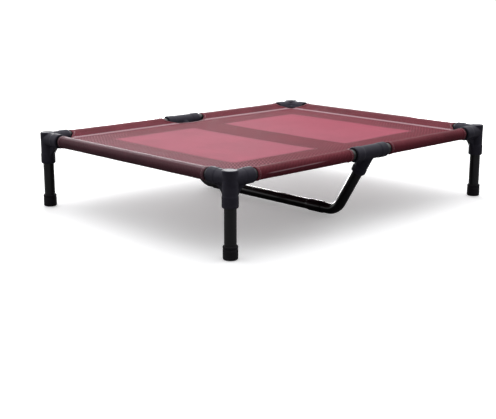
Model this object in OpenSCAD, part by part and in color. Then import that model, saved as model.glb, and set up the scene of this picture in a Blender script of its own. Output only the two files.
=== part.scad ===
// Raised mesh dog bed: a knock-down frame of steel tubes pushed into moulded
// plastic connectors, with a mesh sheet stretched between the rails.
// Origin: centre of the footprint, on the floor. +X along the long side,
// +Y towards the rear long side, +Z up. All sizes in millimetres.

/* [Overall] */
// Distance between leg axes along the long side
bed_l = 732; // [640:2:1240]
// Distance between leg axes along the short side
bed_w = 562; // [540:2:940]
// Height of the rail axes above the floor
rail_z = 143; // [130:1:190]

/* [Tubes] */
// Outside diameter of every tube
tube_d = 22; // [20:0.5:25]
// Wall of every tube
tube_wall = 1.0; // [0.8:0.1:1.5]

/* [Connectors] */
// Outside diameter of a socket behind its collar
socket_d = 28.2; // [27:0.1:30]
// Outside diameter of a socket collar
collar_d = 29.8; // [29:0.1:32]
// Length of a socket collar
collar_l = 20; // [14:1:24]
// Reach of a corner connector's arms from the leg axis
arm_reach = 50; // [47:1:60]
// Reach of a corner connector's leg socket below the rail axis
leg_reach = 51; // [46:1:56]
// Radius of the concave gussets on the corner connectors
gusset_r = 29; // [20:1:30]
// Thickness of the gussets
gusset_t = 8; // [5:0.5:12]
// Radial clearance between a tube and its socket
fit_gap = 0.1; // [0.05:0.05:0.3]

/* [Centre connectors] */
// Half length of the barrel that joins two side rails
barrel_half = 47; // [44:1:56]
// Reach of the sloping crossbar socket from the barrel axis
drop_reach = 50; // [44:1:56]
// Length of the collar on the sloping socket
drop_collar_l = 11; // [8:1:12]
// Slope of the crossbar socket below the horizontal
drop_angle = 58.4; // [50:0.2:65]
// Radius of the concave gussets beside the sloping socket
drop_gusset_r = 21; // [14:1:24]

/* [Crossbar] */
// Height of the crossbar's level run above the floor, at its axis
bar_z = 13; // [12:0.5:20]
// Bend radius of the crossbar ends at the tube axis
bend_r = 38; // [30:1:50]
// Distance from the bend corner to the mouth of the belled joint
bell_from_bend = 35; // [28:1:60]
// Length of each belled joint
bell_l = 40; // [30:1:50]
// Outside diameter of the belled joint
bell_d = 24.4; // [24.3:0.1:26]

/* [Feet] */
// Outside diameter of a foot cap
foot_d = 27.2; // [26:0.1:30]
// Height of a foot cap
foot_h = 25; // [20:1:30]
// Thickness of rubber under the leg tube
foot_floor = 4.5; // [3:0.5:6]

/* [Mesh] */
// Thickness of one layer of mesh
cloth_t = 0.9; // [0.6:0.1:1.2]
// Distance from a rail axis in to the sleeve seam
seam_in = 28; // [24:1:36]
// Bare tube left between a corner connector's mouth and a sleeve
bare = 6; // [3:1:10]
// Bare tube left between a centre connector's mouth and a sleeve
bare_mid = 11; // [4:1:14]
// Reach of the curved cut-out at a centre connector, from the rail axis
notch_in = 38; // [34:1:48]
// Width of the double layer inside each seam
border_w = 70; // [50:1:90]
// Width of the double band over the crossbar
band_w = 90; // [60:2:120]
// Width of the binding tape along a cut edge
tape_w = 6; // [4:1:10]

/* [Hidden] */
$fn = 64;
tube_r = tube_d / 2;
bore_r = tube_r + fit_gap;
socket_r = socket_d / 2;
collar_r = collar_d / 2;
hx = bed_l / 2;
hy = bed_w / 2;
seam_x = hx - seam_in;
seam_y = hy - seam_in;
sleeve_stop = arm_reach + bare;            // sleeve end, from the leg axis
sleeve_mid = barrel_half + bare_mid;           // sleeve end, from the bed's middle
cut = sleeve_stop + tube_r + 1;            // corner cut line x + y = cut, from the leg axis
sleeve_w = tube_r + 1;                     // half width of a sleeve round its tube
notch_s = notch_in - sleeve_w;
notch_r = (sleeve_mid * sleeve_mid + notch_s * notch_s) / (2 * notch_s);
notch_c = hy - notch_in + notch_r;         // centre of that cut-out, from the bed's middle
drop_len = (rail_z - bar_z) / sin(drop_angle);
bend_y = hy - drop_len * cos(drop_angle);  // bend corner, from the bed's middle
bend_cut = bend_r * tan(drop_angle / 2);
bell_y = bend_y - bell_from_bend;
eps = 0.01;

// ---- shared shapes ----------------------------------------------------

// Collar of length l with a rounded mouth at z1, on a socket along +Z
module socket_collar(z1, l) {
    rotate_extrude() polygon([
        [0, z1 - l - 2], [socket_r, z1 - l - 2], [collar_r, z1 - l],
        [collar_r, z1 - 1.6], [collar_r - 1.2, z1], [0, z1]]);
}

// Socket along +Z from the origin to z1
module socket_body(z1, l) {
    cylinder(r = socket_r, h = z1 - 2);
    socket_collar(z1, l);
}

// Bore along +Z from its stop at z0 to its mouth at z1, with a lead-in
module socket_bore(z0, z1) {
    translate([0, 0, z0]) cylinder(r = bore_r, h = z1 - z0 + 1);
    translate([0, 0, z1 - 1]) cylinder(r1 = bore_r, r2 = bore_r + 1.1, h = 1.1);
}

// Straight tube along +Z
module tube(l) {
    difference() {
        cylinder(r = tube_r, h = l);
        translate([0, 0, -1]) cylinder(r = tube_r - tube_wall, h = l + 2);
    }
}

// Concave gusset outline in the first quadrant, tangent to two sockets
module gusset_outline(r0, r) {
    difference() {
        square(r0 + r);
        translate([r0 + r, r0 + r]) circle(r = r, $fn = 96);
    }
}

module gusset(r0, r) {
    translate([0, 0, -gusset_t / 2]) linear_extrude(gusset_t) gusset_outline(r0, r);
}

// Places a child that is made for the front left corner at corner [sx, sy]
module at_corner(sx, sy) {
    mirror([sx > 0 ? 1 : 0, 0, 0]) mirror([0, sy > 0 ? 1 : 0, 0])
        translate([-hx, -hy, 0]) children();
}

// Places a child made for the front side on the front (s = -1) or the rear
module at_side(s) {
    mirror([0, s > 0 ? 1 : 0, 0]) children();
}

module at_end(s) {
    mirror([s > 0 ? 1 : 0, 0, 0]) children();
}

// ---- moulded connectors -----------------------------------------------

// Three-way corner connector: two level arms, a leg socket and three gussets
module corner_connector(sx, sy) {
    color([0.11, 0.11, 0.13])
    at_corner(sx, sy) translate([0, 0, rail_z]) difference() {
        union() {
            rotate([0, 90, 0]) socket_body(arm_reach, collar_l);
            rotate([-90, 0, 0]) socket_body(arm_reach, collar_l);
            rotate([180, 0, 0]) socket_body(leg_reach, collar_l);
            cylinder(r = socket_r + 0.3, h = collar_r - 1);
            translate([0, 0, collar_r - 1 - eps])
                cylinder(r1 = socket_r + 0.3, r2 = socket_r - 0.7, h = 1 + eps);
            rotate([-90, 0, 0]) gusset(socket_r, gusset_r);
            rotate([0, 90, 0]) gusset(socket_r, gusset_r);
            gusset(socket_r, gusset_r);
        }
        rotate([0, 90, 0]) socket_bore(18, arm_reach);
        rotate([-90, 0, 0]) socket_bore(18, arm_reach);
        rotate([180, 0, 0]) socket_bore(16, leg_reach);
    }
}

// Centre connector: a barrel between two side rails and a sloping socket
module centre_connector(s) {
    color([0.11, 0.11, 0.13])
    at_side(s) translate([0, -hy, rail_z]) difference() {
        union() {
            rotate([0, 90, 0]) translate([0, 0, -(barrel_half - 2)])
                cylinder(r = socket_r, h = 2 * (barrel_half - 2));
            for (k = [-1, 1]) rotate([0, 90 * k, 0]) socket_collar(barrel_half, collar_l);
            rotate([-90 - drop_angle, 0, 0]) {
                socket_body(drop_reach, drop_collar_l);
                rotate([90, 0, 0]) translate([0, 0, -gusset_t / 2]) linear_extrude(gusset_t)
                    difference() {
                        translate([-(socket_r + drop_gusset_r), 0])
                            square([2 * (socket_r + drop_gusset_r), socket_r + drop_gusset_r]);
                        for (k = [-1, 1])
                            translate([k * (socket_r + drop_gusset_r), socket_r + drop_gusset_r])
                                circle(r = drop_gusset_r, $fn = 96);
                    }
            }
        }
        for (k = [-1, 1]) rotate([0, 90 * k, 0]) socket_bore(9, barrel_half);
        rotate([-90 - drop_angle, 0, 0]) socket_bore(14, drop_reach);
    }
}

// ---- steel tubes --------------------------------------------------------

module leg_tube(sx, sy) {
    color([0.06, 0.06, 0.07])
    at_corner(sx, sy) translate([0, 0, foot_floor]) tube(rail_z - 18 - foot_floor);
}

module end_rail(s) {
    color([0.06, 0.06, 0.07])
    at_end(s) translate([-hx, -(hy - 20), rail_z]) rotate([-90, 0, 0]) tube(2 * (hy - 20));
}

module side_rail(sx, sy) {
    color([0.06, 0.06, 0.07])
    at_corner(sx, sy) translate([20, 0, rail_z]) rotate([0, 90, 0]) tube(hx - 20 - 11);
}

// Stations along the bent tube's axis: [y, z, direction below the level]
bend_steps = 10;
bend_stations = concat(
    [[-hy + 16 * cos(drop_angle), rail_z - 16 * sin(drop_angle), drop_angle]],
    [for (i = [0 : bend_steps]) let (a = drop_angle * (1 - i / bend_steps))
        [-bend_y + bend_cut - bend_r * sin(a), bar_z + bend_r - bend_r * cos(a), a]],
    [[-bell_y + bell_l - 6, bar_z, 0]]);

// One ring of n points of radius r square to the axis at a station
function ring(s, r, n) = [for (i = [0 : n - 1]) let (c = r * cos(360 * i / n), w = r * sin(360 * i / n))
    [w, s[0] + c * sin(s[2]), s[1] + c * cos(s[2])]];

// Hollow tube swept along the stations
module swept_tube(stations, ro, ri, n) {
    m = len(stations);
    function at(k, j, i) = (k * m + j) * n + i % n;
    polyhedron(
        points = [for (r = [ro, ri]) for (s = stations) each ring(s, r, n)],
        faces = concat(
            [for (j = [0 : m - 2]) for (i = [0 : n - 1])
                [at(0, j, i), at(0, j, i + 1), at(0, j + 1, i + 1), at(0, j + 1, i)]],
            [for (j = [0 : m - 2]) for (i = [0 : n - 1])
                [at(1, j, i), at(1, j + 1, i), at(1, j + 1, i + 1), at(1, j, i + 1)]],
            [for (i = [0 : n - 1]) [at(0, 0, i), at(1, 0, i), at(1, 0, i + 1), at(0, 0, i + 1)]],
            [for (i = [0 : n - 1])
                [at(0, m - 1, i), at(0, m - 1, i + 1), at(1, m - 1, i + 1), at(1, m - 1, i)]]));
}

// Bent end of the crossbar: down from the centre connector, then level
module crossbar_end(s) {
    color([0.06, 0.06, 0.07])
    at_side(s) swept_tube(bend_stations, tube_r, tube_r - tube_wall, 36);
}

// Straight middle tube of the crossbar, belled over the bent ends
module crossbar_centre_tube() {
    r = tube_r;
    ri = tube_r - tube_wall;
    R = bell_d / 2;
    b = bell_y;
    c = bell_y - bell_l;
    color([0.06, 0.06, 0.07])
    translate([0, 0, bar_z]) rotate([-90, 0, 0])
        rotate_extrude() polygon([
            [bore_r, -b], [R - 0.3, -b], [R, -b + 0.5], [R, -c - 3], [r, -c + 2],
            [r, c - 2], [R, c + 3], [R, b - 0.5], [R - 0.3, b], [bore_r, b],
            [bore_r, c + 4], [ri, c], [ri, -c], [bore_r, -c - 4]
        ]);
}

// ---- rubber feet ----------------------------------------------------------

module foot_cap(sx, sy) {
    R = foot_d / 2;
    e = 3.2;
    color([0.08, 0.08, 0.08])
    at_corner(sx, sy) rotate_extrude() polygon(concat(
        [[0, 0], [R - e, 0]],
        [for (a = [15 : 15 : 90]) [R - e + e * sin(a), e - e * cos(a)]],
        [[R, foot_h - 6.4], [R - 0.7, foot_h - 5.9], [R - 0.7, foot_h - 5.2],
         [R - 0.1, foot_h - 4.7], [R - 0.1, foot_h - 1], [R - 0.9, foot_h],
         [tube_r + 0.05, foot_h], [tube_r + 0.05, foot_floor], [0, foot_floor]]));
}

// ---- mesh -------------------------------------------------------------------

// Upper tangent point on a circle of radius r, seen from the point [px, py]
function tangent(r, px, py) =
    let (d = norm([px, py]), a = atan2(py, px) + acos(r / d)) [r * cos(a), r * sin(a)];

// Sleeve outline: u inwards from the rail axis, v up; a circle of radius r
// drawn out to a flat edge at u = px
function drop_points(r, px, py) =
    let (t = tangent(r, px, py), a0 = atan2(t[1], t[0]), n = 36, d = (360 - 2 * a0) / n)
    concat([[px, py]], [for (i = [0 : n]) r * [cos(a0 + i * d), sin(a0 + i * d)]], [[px, -py]]);

module sleeve_section() {
    difference() {
        polygon(drop_points(tube_r + 0.15 + cloth_t, seam_in, cloth_t));
        polygon(drop_points(tube_r + 0.15, seam_in - 3, 0.05));
    }
}

// Sleeve along +X from x0 to x1 on a rail at y = -half. g0 and g1 say how far
// its flat part runs on past each end, and notch cuts it beside a centre connector
module sleeve_run(x0, x1, g0, g1, half, notch) {
    w = sleeve_w;
    g = seam_in - w;
    translate([0, -half, rail_z]) intersection() {
        translate([x0 - 30, 0, 0]) rotate([90, 0, 90])
            linear_extrude(x1 - x0 + 60) sleeve_section();
        translate([0, 0, -20]) linear_extrude(40) difference() {
            polygon([
                [x0, -w - 5], [x1, -w - 5], [x1, w], [x1 + (notch ? g1 : 0), w],
                [x1 + g1, seam_in + 1], [x0 - g0, seam_in + 1], [x0, w]]);
            if (notch) intersection() {
                translate([0, half - notch_c]) circle(r = notch_r, $fn = 120);
                translate([-100, w]) square([200, 60]);
            }
        }
    }
}

module sleeve_side(sx, sy) {
    color([0.42, 0.13, 0.18])
    at_side(sy) at_end(sx)
        sleeve_run(-(hx - sleeve_stop), -sleeve_mid, seam_in - sleeve_w, 28, hy, true);
}

module sleeve_end(s) {
    color([0.42, 0.13, 0.18])
    at_end(s) rotate([0, 0, -90])
        sleeve_run(-(hy - sleeve_stop), hy - sleeve_stop,
                   seam_in - sleeve_w, seam_in - sleeve_w, hx, false);
}

// Outline of the sheet inside the seams, cut back by g at the corners and
// at the centre connectors
module sheet_outline(g) {
    k = cut + g * sqrt(2);
    difference() {
        polygon([
            [-seam_x, -(hy - (k - seam_in))], [-(hx - (k - seam_in)), -seam_y],
            [hx - (k - seam_in), -seam_y], [seam_x, -(hy - (k - seam_in))],
            [seam_x, hy - (k - seam_in)], [hx - (k - seam_in), seam_y],
            [-(hx - (k - seam_in)), seam_y], [-seam_x, hy - (k - seam_in)]]);
        for (s = [-1, 1]) translate([0, s * notch_c]) circle(r = notch_r + g, $fn = 120);
    }
}

module mesh_panel() {
    color([0.60, 0.24, 0.30])
    translate([0, 0, rail_z]) linear_extrude(cloth_t) sheet_outline(tape_w);
}

// Second layer sewn under the panel: side strips, end strips, centre band
module under_layer() {
    translate([0, 0, rail_z - cloth_t]) linear_extrude(cloth_t) intersection() {
        sheet_outline(tape_w);
        children();
    }
}

module under_strip_side(s) {
    color([0.45, 0.17, 0.22])
    at_side(s) under_layer()
        translate([-hx, -seam_y]) square([bed_l, border_w]);
}

module under_strip_end(s) {
    color([0.45, 0.17, 0.22])
    at_end(s) under_layer()
        translate([-seam_x, -(seam_y - border_w)])
            square([border_w, 2 * (seam_y - border_w)]);
}

module under_band_centre() {
    color([0.45, 0.17, 0.22])
    under_layer()
        translate([-band_w / 2, -(seam_y - border_w)])
            square([band_w, 2 * (seam_y - border_w)]);
}

// Binding tape folded over a slanted corner edge
module corner_binding(sx, sy) {
    color([0.50, 0.22, 0.27])
    translate([0, 0, rail_z - cloth_t - 0.3]) linear_extrude(2 * cloth_t + 0.6)
        intersection() {
            difference() {
                sheet_outline(0);
                sheet_outline(tape_w);
            }
            translate([sx > 0 ? seam_x - 60 : -seam_x + 0.3, sy > 0 ? seam_y - 60 : -seam_y + 0.3])
                square(59.7);
        }
}

// Binding tape folded over the curved edge beside a centre connector
module centre_binding(s) {
    color([0.50, 0.22, 0.27])
    at_side(s) translate([0, 0, rail_z - cloth_t - 0.3]) linear_extrude(2 * cloth_t + 0.6)
        intersection() {
            difference() {
                sheet_outline(0);
                sheet_outline(tape_w);
            }
            translate([-80, -seam_y + 0.3]) square([160, 40]);
        }
}

// ---- nodes ------------------------------------------------------------------

corner_connector(-1, -1);  // corner_connector_front_left
corner_connector(1, -1);  // corner_connector_front_right
corner_connector(-1, 1);  // corner_connector_rear_left
corner_connector(1, 1);  // corner_connector_rear_right
leg_tube(-1, -1);  // leg_tube_front_left
leg_tube(1, -1);  // leg_tube_front_right
leg_tube(-1, 1);  // leg_tube_rear_left
leg_tube(1, 1);  // leg_tube_rear_right
foot_cap(-1, -1);  // foot_cap_front_left
foot_cap(1, -1);  // foot_cap_front_right
foot_cap(-1, 1);  // foot_cap_rear_left
foot_cap(1, 1);  // foot_cap_rear_right
end_rail(-1);  // end_rail_left
end_rail(1);  // end_rail_right
side_rail(-1, -1);  // side_rail_front_left
side_rail(1, -1);  // side_rail_front_right
side_rail(-1, 1);  // side_rail_rear_left
side_rail(1, 1);  // side_rail_rear_right
centre_connector(-1);  // centre_connector_front
centre_connector(1);  // centre_connector_rear
crossbar_end(-1);  // crossbar_end_front
crossbar_end(1);  // crossbar_end_rear
crossbar_centre_tube();
mesh_panel();
sleeve_end(-1);  // sleeve_end_left
sleeve_end(1);  // sleeve_end_right
sleeve_side(-1, -1);  // sleeve_front_left
sleeve_side(1, -1);  // sleeve_front_right
sleeve_side(-1, 1);  // sleeve_rear_left
sleeve_side(1, 1);  // sleeve_rear_right
under_strip_side(-1);  // under_strip_front
under_strip_side(1);  // under_strip_rear
under_strip_end(-1);  // under_strip_left
under_strip_end(1);  // under_strip_right
under_band_centre();
corner_binding(-1, -1);  // corner_binding_front_left
corner_binding(1, -1);  // corner_binding_front_right
corner_binding(-1, 1);  // corner_binding_rear_left
corner_binding(1, 1);  // corner_binding_rear_right
centre_binding(-1);  // centre_binding_front
centre_binding(1);  // centre_binding_rear
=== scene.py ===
"""Looks of the raised mesh dog bed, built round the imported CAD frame. Lengths below are in millimetres, and become metres in piece()."""

import math

import bpy
import numpy as np
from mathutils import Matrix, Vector, geometry, noise


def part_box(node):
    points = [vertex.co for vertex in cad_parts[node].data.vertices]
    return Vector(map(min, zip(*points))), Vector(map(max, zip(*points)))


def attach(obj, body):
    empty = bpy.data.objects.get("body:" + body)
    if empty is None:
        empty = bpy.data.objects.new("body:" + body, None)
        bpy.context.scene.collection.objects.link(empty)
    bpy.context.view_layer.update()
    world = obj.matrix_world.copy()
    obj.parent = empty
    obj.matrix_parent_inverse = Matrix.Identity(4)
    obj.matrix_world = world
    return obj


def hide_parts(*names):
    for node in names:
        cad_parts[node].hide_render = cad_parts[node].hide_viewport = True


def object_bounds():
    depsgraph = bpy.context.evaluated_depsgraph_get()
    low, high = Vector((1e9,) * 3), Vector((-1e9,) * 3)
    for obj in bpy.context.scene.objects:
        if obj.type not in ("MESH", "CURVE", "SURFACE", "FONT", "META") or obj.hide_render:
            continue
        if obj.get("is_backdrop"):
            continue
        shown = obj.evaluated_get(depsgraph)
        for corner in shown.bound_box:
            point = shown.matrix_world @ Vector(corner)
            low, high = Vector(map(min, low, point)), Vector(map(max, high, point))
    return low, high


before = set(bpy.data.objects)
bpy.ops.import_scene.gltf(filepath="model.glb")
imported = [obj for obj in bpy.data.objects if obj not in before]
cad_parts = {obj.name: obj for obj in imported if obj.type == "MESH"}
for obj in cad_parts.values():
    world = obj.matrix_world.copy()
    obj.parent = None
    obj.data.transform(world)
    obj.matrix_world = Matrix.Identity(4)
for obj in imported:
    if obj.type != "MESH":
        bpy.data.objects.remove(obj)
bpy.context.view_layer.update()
MM = 0.001


# ---------------------------------------------------------------- sizes from the frame
def box_mm(node):
    lo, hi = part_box(node)
    return np.array(lo) * 1000, np.array(hi) * 1000


lo, hi = box_mm("leg_tube_rear_right")
HX, HY = (lo[0] + hi[0]) / 2, (lo[1] + hi[1]) / 2
TUBE_R = (hi[0] - lo[0]) / 2
LEG_Z0, LEG_Z1 = lo[2], hi[2]
WALL = 1.0
lo, hi = box_mm("end_rail_left")
RAIL_Z = (lo[2] + hi[2]) / 2
lo, hi = box_mm("foot_cap_rear_right")
FOOT_R, FOOT_H = (hi[0] - lo[0]) / 2, hi[2]
lo, hi = box_mm("mesh_panel")
SEAM_X, SEAM_Y = hi[0], hi[1]
CLOTH_T = hi[2] - lo[2]
SEAM_IN = HX - SEAM_X
lo, hi = box_mm("sleeve_front_right")
SLEEVE_MID = 58.0
lo, hi = box_mm("under_strip_left")
BORDER_IN = hi[0]                               # x of the strip's inner edge, negative
BORDER_Y = -lo[1]
lo, hi = box_mm("under_band_centre")
BAND_X = hi[0]
lo, hi = box_mm("crossbar_centre_tube")
BAR_Z, BELL_R, BELL_Y = (lo[2] + hi[2]) / 2, (hi[0] - lo[0]) / 2, hi[1]

ARM_REACH, LEG_REACH, COLLAR_R, SOCKET_R, BORE_R = 50.0, 51.0, 14.9, 14.1, 11.1
BARREL = 47.0
BARE = 6.0
SLEEVE_STOP = ARM_REACH + BARE
CUT = SLEEVE_STOP + TUBE_R + 1
SLEEVE_W = TUBE_R + 1
NOTCH_IN = 38.0
NOTCH_S = NOTCH_IN - SLEEVE_W
NOTCH_R = (SLEEVE_MID ** 2 + NOTCH_S ** 2) / (2 * NOTCH_S)
NOTCH_C = HY - NOTCH_IN + NOTCH_R
DROP_A = math.radians(58.4)
BEND_R = 38.0
BEND_Y = HY - (RAIL_Z - BAR_Z) / math.tan(DROP_A)
BEND_CUT = BEND_R * math.tan(DROP_A / 2)
BELL_L = 40.0
TAPE_W = 6.0

CORNERS = {"front_left": (-1, -1), "front_right": (1, -1), "rear_left": (-1, 1), "rear_right": (1, 1)}


# ---------------------------------------------------------------- node helpers
class Mat:
    """A material with a Principled shader and short calls for the nodes that drive it."""

    def __init__(self, name, **plain):
        self.m = bpy.data.materials.new(name)
        self.m.use_nodes = True
        self.t = self.m.node_tree
        self.t.nodes.clear()
        self.out = self.t.nodes.new("ShaderNodeOutputMaterial")
        self.b = self.t.nodes.new("ShaderNodeBsdfPrincipled")
        self.t.links.new(self.b.outputs[0], self.out.inputs[0])
        for k, v in plain.items():
            self.b.inputs[k.replace("_", " ")].default_value = v

    def put(self, socket, v):
        if isinstance(v, bpy.types.NodeSocket):
            self.t.links.new(v, socket)
        else:
            socket.default_value = v

    def math(self, op, a, b=None, c=None, clamp=False):
        n = self.t.nodes.new("ShaderNodeMath")
        n.operation, n.use_clamp = op, clamp
        for i, v in enumerate((a, b, c)):
            if v is not None:
                self.put(n.inputs[i], v)
        return n.outputs[0]

    def step(self, v, lo, hi, out_lo=0.0, out_hi=1.0):
        n = self.t.nodes.new("ShaderNodeMapRange")
        n.interpolation_type = "SMOOTHSTEP"
        self.put(n.inputs["Value"], v)
        for k, x in (("From Min", lo), ("From Max", hi), ("To Min", out_lo), ("To Max", out_hi)):
            self.put(n.inputs[k], x)
        return n.outputs[0]

    def mix(self, f, a, b, mode="MIX"):
        n = self.t.nodes.new("ShaderNodeMix")
        n.data_type, n.blend_type = "RGBA", mode
        self.put(n.inputs[0], f)
        for i, v in ((6, a), (7, b)):
            self.put(n.inputs[i], (*v, 1.0) if isinstance(v, tuple) and len(v) == 3 else v)
        return n.outputs[2]

    def coords(self, kind="Object"):
        return self.t.nodes.new("ShaderNodeTexCoord").outputs[kind]

    def attribute(self, name):
        n = self.t.nodes.new("ShaderNodeAttribute")
        n.attribute_name = name
        return n.outputs["Vector"]

    def xyz(self, v):
        n = self.t.nodes.new("ShaderNodeSeparateXYZ")
        self.put(n.inputs[0], v)
        return n.outputs[0], n.outputs[1], n.outputs[2]

    def join(self, x, y, z=0.0):
        n = self.t.nodes.new("ShaderNodeCombineXYZ")
        for i, v in enumerate((x, y, z)):
            self.put(n.inputs[i], v)
        return n.outputs[0]

    def noise(self, vec, scale, detail=2.0, rough=0.5, distort=0.0):
        n = self.t.nodes.new("ShaderNodeTexNoise")
        self.put(n.inputs["Vector"], vec)
        n.inputs["Scale"].default_value = scale
        n.inputs["Detail"].default_value = detail
        n.inputs["Roughness"].default_value = rough
        n.inputs["Distortion"].default_value = distort
        return n.outputs[0]

    def bump(self, height, strength, distance, normal=None):
        n = self.t.nodes.new("ShaderNodeBump")
        n.inputs["Strength"].default_value = strength
        n.inputs["Distance"].default_value = distance
        self.put(n.inputs["Height"], height)
        if normal is not None:
            self.put(n.inputs["Normal"], normal)
        return n.outputs[0]

    def set(self, name, v):
        self.put(self.b.inputs[name], v)
        return self


def plastic():
    """Satin charcoal moulding: fine spark-eroded texture, flow mottling, a parting line, polished high spots."""
    k = Mat("moulded_plastic", Specular_IOR_Level=0.08, Coat_Weight=0.13, Coat_Roughness=0.04)
    p = k.coords()
    x, y, z = k.xyz(p)
    grain = k.noise(p, 2600.0, 2.0, 0.6)
    flow = k.noise(p, 38.0, 4.0, 0.55, 0.6)
    fleck = k.noise(p, 420.0, 3.0, 0.6)
    geo = k.t.nodes.new("ShaderNodeNewGeometry")
    edge = k.step(geo.outputs["Pointiness"], 0.53, 0.62)
    worn = k.math("MULTIPLY", edge, k.step(k.noise(p, 120.0, 3.0, 0.6), 0.42, 0.62))
    base = k.mix(k.step(flow, 0.35, 0.68), (0.0330, 0.0305, 0.0450), (0.0440, 0.0405, 0.0570))
    base = k.mix(k.math("MULTIPLY", k.step(fleck, 0.58, 0.75), 0.35), base, (0.040, 0.039, 0.046))
    base = k.mix(k.math("MULTIPLY", worn, 0.55), base, (0.060, 0.061, 0.068))
    k.set("Base Color", base)
    rough = k.math("ADD", 0.42, k.math("MULTIPLY", flow, 0.14))
    rough = k.math("SUBTRACT", rough, k.math("MULTIPLY", worn, 0.10))
    k.set("Roughness", k.math("ADD", rough, k.math("MULTIPLY", grain, 0.05)))
    part = k.math("SUBTRACT", 1.0, k.step(k.math("ABSOLUTE", k.math("SUBTRACT", z, RAIL_Z * MM)), 0.0002, 0.0005))
    height = k.math("ADD", k.math("MULTIPLY", grain, 0.35), k.math("MULTIPLY", part, 0.9))
    k.set("Normal", k.bump(height, 0.35, 0.00022, k.bump(flow, 0.10, 0.0012)))
    return k.m


def steel():
    """Black powder coat on tube: orange peel, small gloss changes, faint pale specks."""
    k = Mat("powder_coated_steel", Specular_IOR_Level=0.20, Coat_Weight=0.90, Coat_Roughness=0.04)
    p = k.coords()
    peel = k.noise(p, 620.0, 2.0, 0.5)
    broad = k.noise(p, 24.0, 3.0, 0.5)
    dust = k.noise(p, 1500.0, 2.0, 0.7)
    base = k.mix(k.step(broad, 0.35, 0.7), (0.0048, 0.0044, 0.0052), (0.0085, 0.0078, 0.0090))
    base = k.mix(k.math("MULTIPLY", k.step(dust, 0.63, 0.78), 0.30), base, (0.022, 0.021, 0.022))
    k.set("Base Color", base)
    k.set("Roughness", k.math("ADD", 0.24, k.math("MULTIPLY", k.math("ADD", broad, k.math("MULTIPLY", peel, 0.4)), 0.13)))
    k.set("Normal", k.bump(peel, 0.28, 0.00025, k.bump(broad, 0.06, 0.001)))
    return k.m


def rubber():
    """Matt black rubber with a cloudy dusty bloom that gathers low down."""
    k = Mat("foot_rubber_compound", Specular_IOR_Level=0.20)
    p = k.coords()
    x, y, z = k.xyz(p)
    grain = k.noise(p, 1900.0, 3.0, 0.65)
    cloud = k.noise(p, 70.0, 4.0, 0.6)
    low = k.step(z, 0.0005, 0.007, 1.0, 0.0)
    bloom = k.math("MULTIPLY", k.math("ADD", k.math("MULTIPLY", low, 0.5), 0.22), k.step(cloud, 0.38, 0.68))
    base = k.mix(bloom, (0.0175, 0.0160, 0.0195), (0.042, 0.0390, 0.0425))
    k.set("Base Color", base)
    k.set("Roughness", k.math("ADD", 0.60, k.math("MULTIPLY", cloud, 0.22)))
    k.set("Normal", k.bump(grain, 0.40, 0.0003, k.bump(cloud, 0.10, 0.0006)))
    return k.m


def weave(k, px=1.25, py=1.55):
    """Height and hole masks of a coated plain weave from the cloth's own coordinates, which lie in the attribute 'cloth' in millimetres."""
    c = k.attribute("cloth")
    x, y, _ = k.xyz(c)
    flat = k.join(x, y)
    wob = k.noise(flat, 0.035, 2.0, 0.5)
    x2 = k.math("ADD", x, k.math("MULTIPLY", wob, 1.2))
    y2 = k.math("ADD", y, k.math("MULTIPLY", wob, 0.9))
    a = k.math("SINE", k.math("MULTIPLY", x2, math.pi / px))
    b = k.math("SINE", k.math("MULTIPLY", y2, math.pi / py))
    A, B = k.math("ABSOLUTE", a), k.math("ABSOLUTE", b)
    ab = k.math("MULTIPLY", a, b)
    sign = k.math("DIVIDE", ab, k.math("ADD", k.math("ABSOLUTE", ab), 0.14))
    warp = k.math("MULTIPLY", k.math("POWER", A, 0.55), k.math("ADD", 0.64, k.math("MULTIPLY", sign, 0.36)))
    weft = k.math("MULTIPLY", k.math("POWER", B, 0.55), k.math("SUBTRACT", 0.64, k.math("MULTIPLY", sign, 0.36)))
    h = k.math("MAXIMUM", warp, weft)
    hole = k.step(k.math("MULTIPLY", k.math("SUBTRACT", 1.0, A), k.math("SUBTRACT", 1.0, B)), 0.36, 0.66)
    # a tint of its own for each yarn
    yarn = k.t.nodes.new("ShaderNodeTexWhiteNoise")
    yarn.noise_dimensions = "2D"
    over = k.math("GREATER_THAN", warp, weft)
    ix = k.math("MULTIPLY", k.math("FLOOR", k.math("DIVIDE", x2, px)), over)
    iy = k.math("MULTIPLY", k.math("FLOOR", k.math("DIVIDE", y2, py)), k.math("SUBTRACT", 1.0, over))
    k.put(yarn.inputs["Vector"], k.join(ix, iy))
    return c, flat, x, y, h, hole, yarn.outputs["Value"]


def moire(k, x, y, wob, fine=6.4, long=33.0, turn=-0.76):
    """Beat pattern of two stacked layers: diagonal fringes broken into rows of small dots, bent a little where the cloth is drawn."""
    cs, sn = math.cos(turn), math.sin(turn)
    u = k.math("ADD", k.math("ADD", k.math("MULTIPLY", x, cs), k.math("MULTIPLY", y, sn)), k.math("MULTIPLY", wob, 9.0))
    v = k.math("ADD", k.math("SUBTRACT", k.math("MULTIPLY", y, cs), k.math("MULTIPLY", x, sn)), k.math("MULTIPLY", wob, 30.0))
    a = k.math("SINE", k.math("MULTIPLY", u, 2 * math.pi / fine))
    b = k.math("SINE", k.math("MULTIPLY", v, 2 * math.pi / long))
    ab = k.math("MULTIPLY", a, b)
    return k.math("DIVIDE", k.math("MULTIPLY", ab, 1.25), k.math("ADD", k.math("ABSOLUTE", ab), 0.25))


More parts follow.
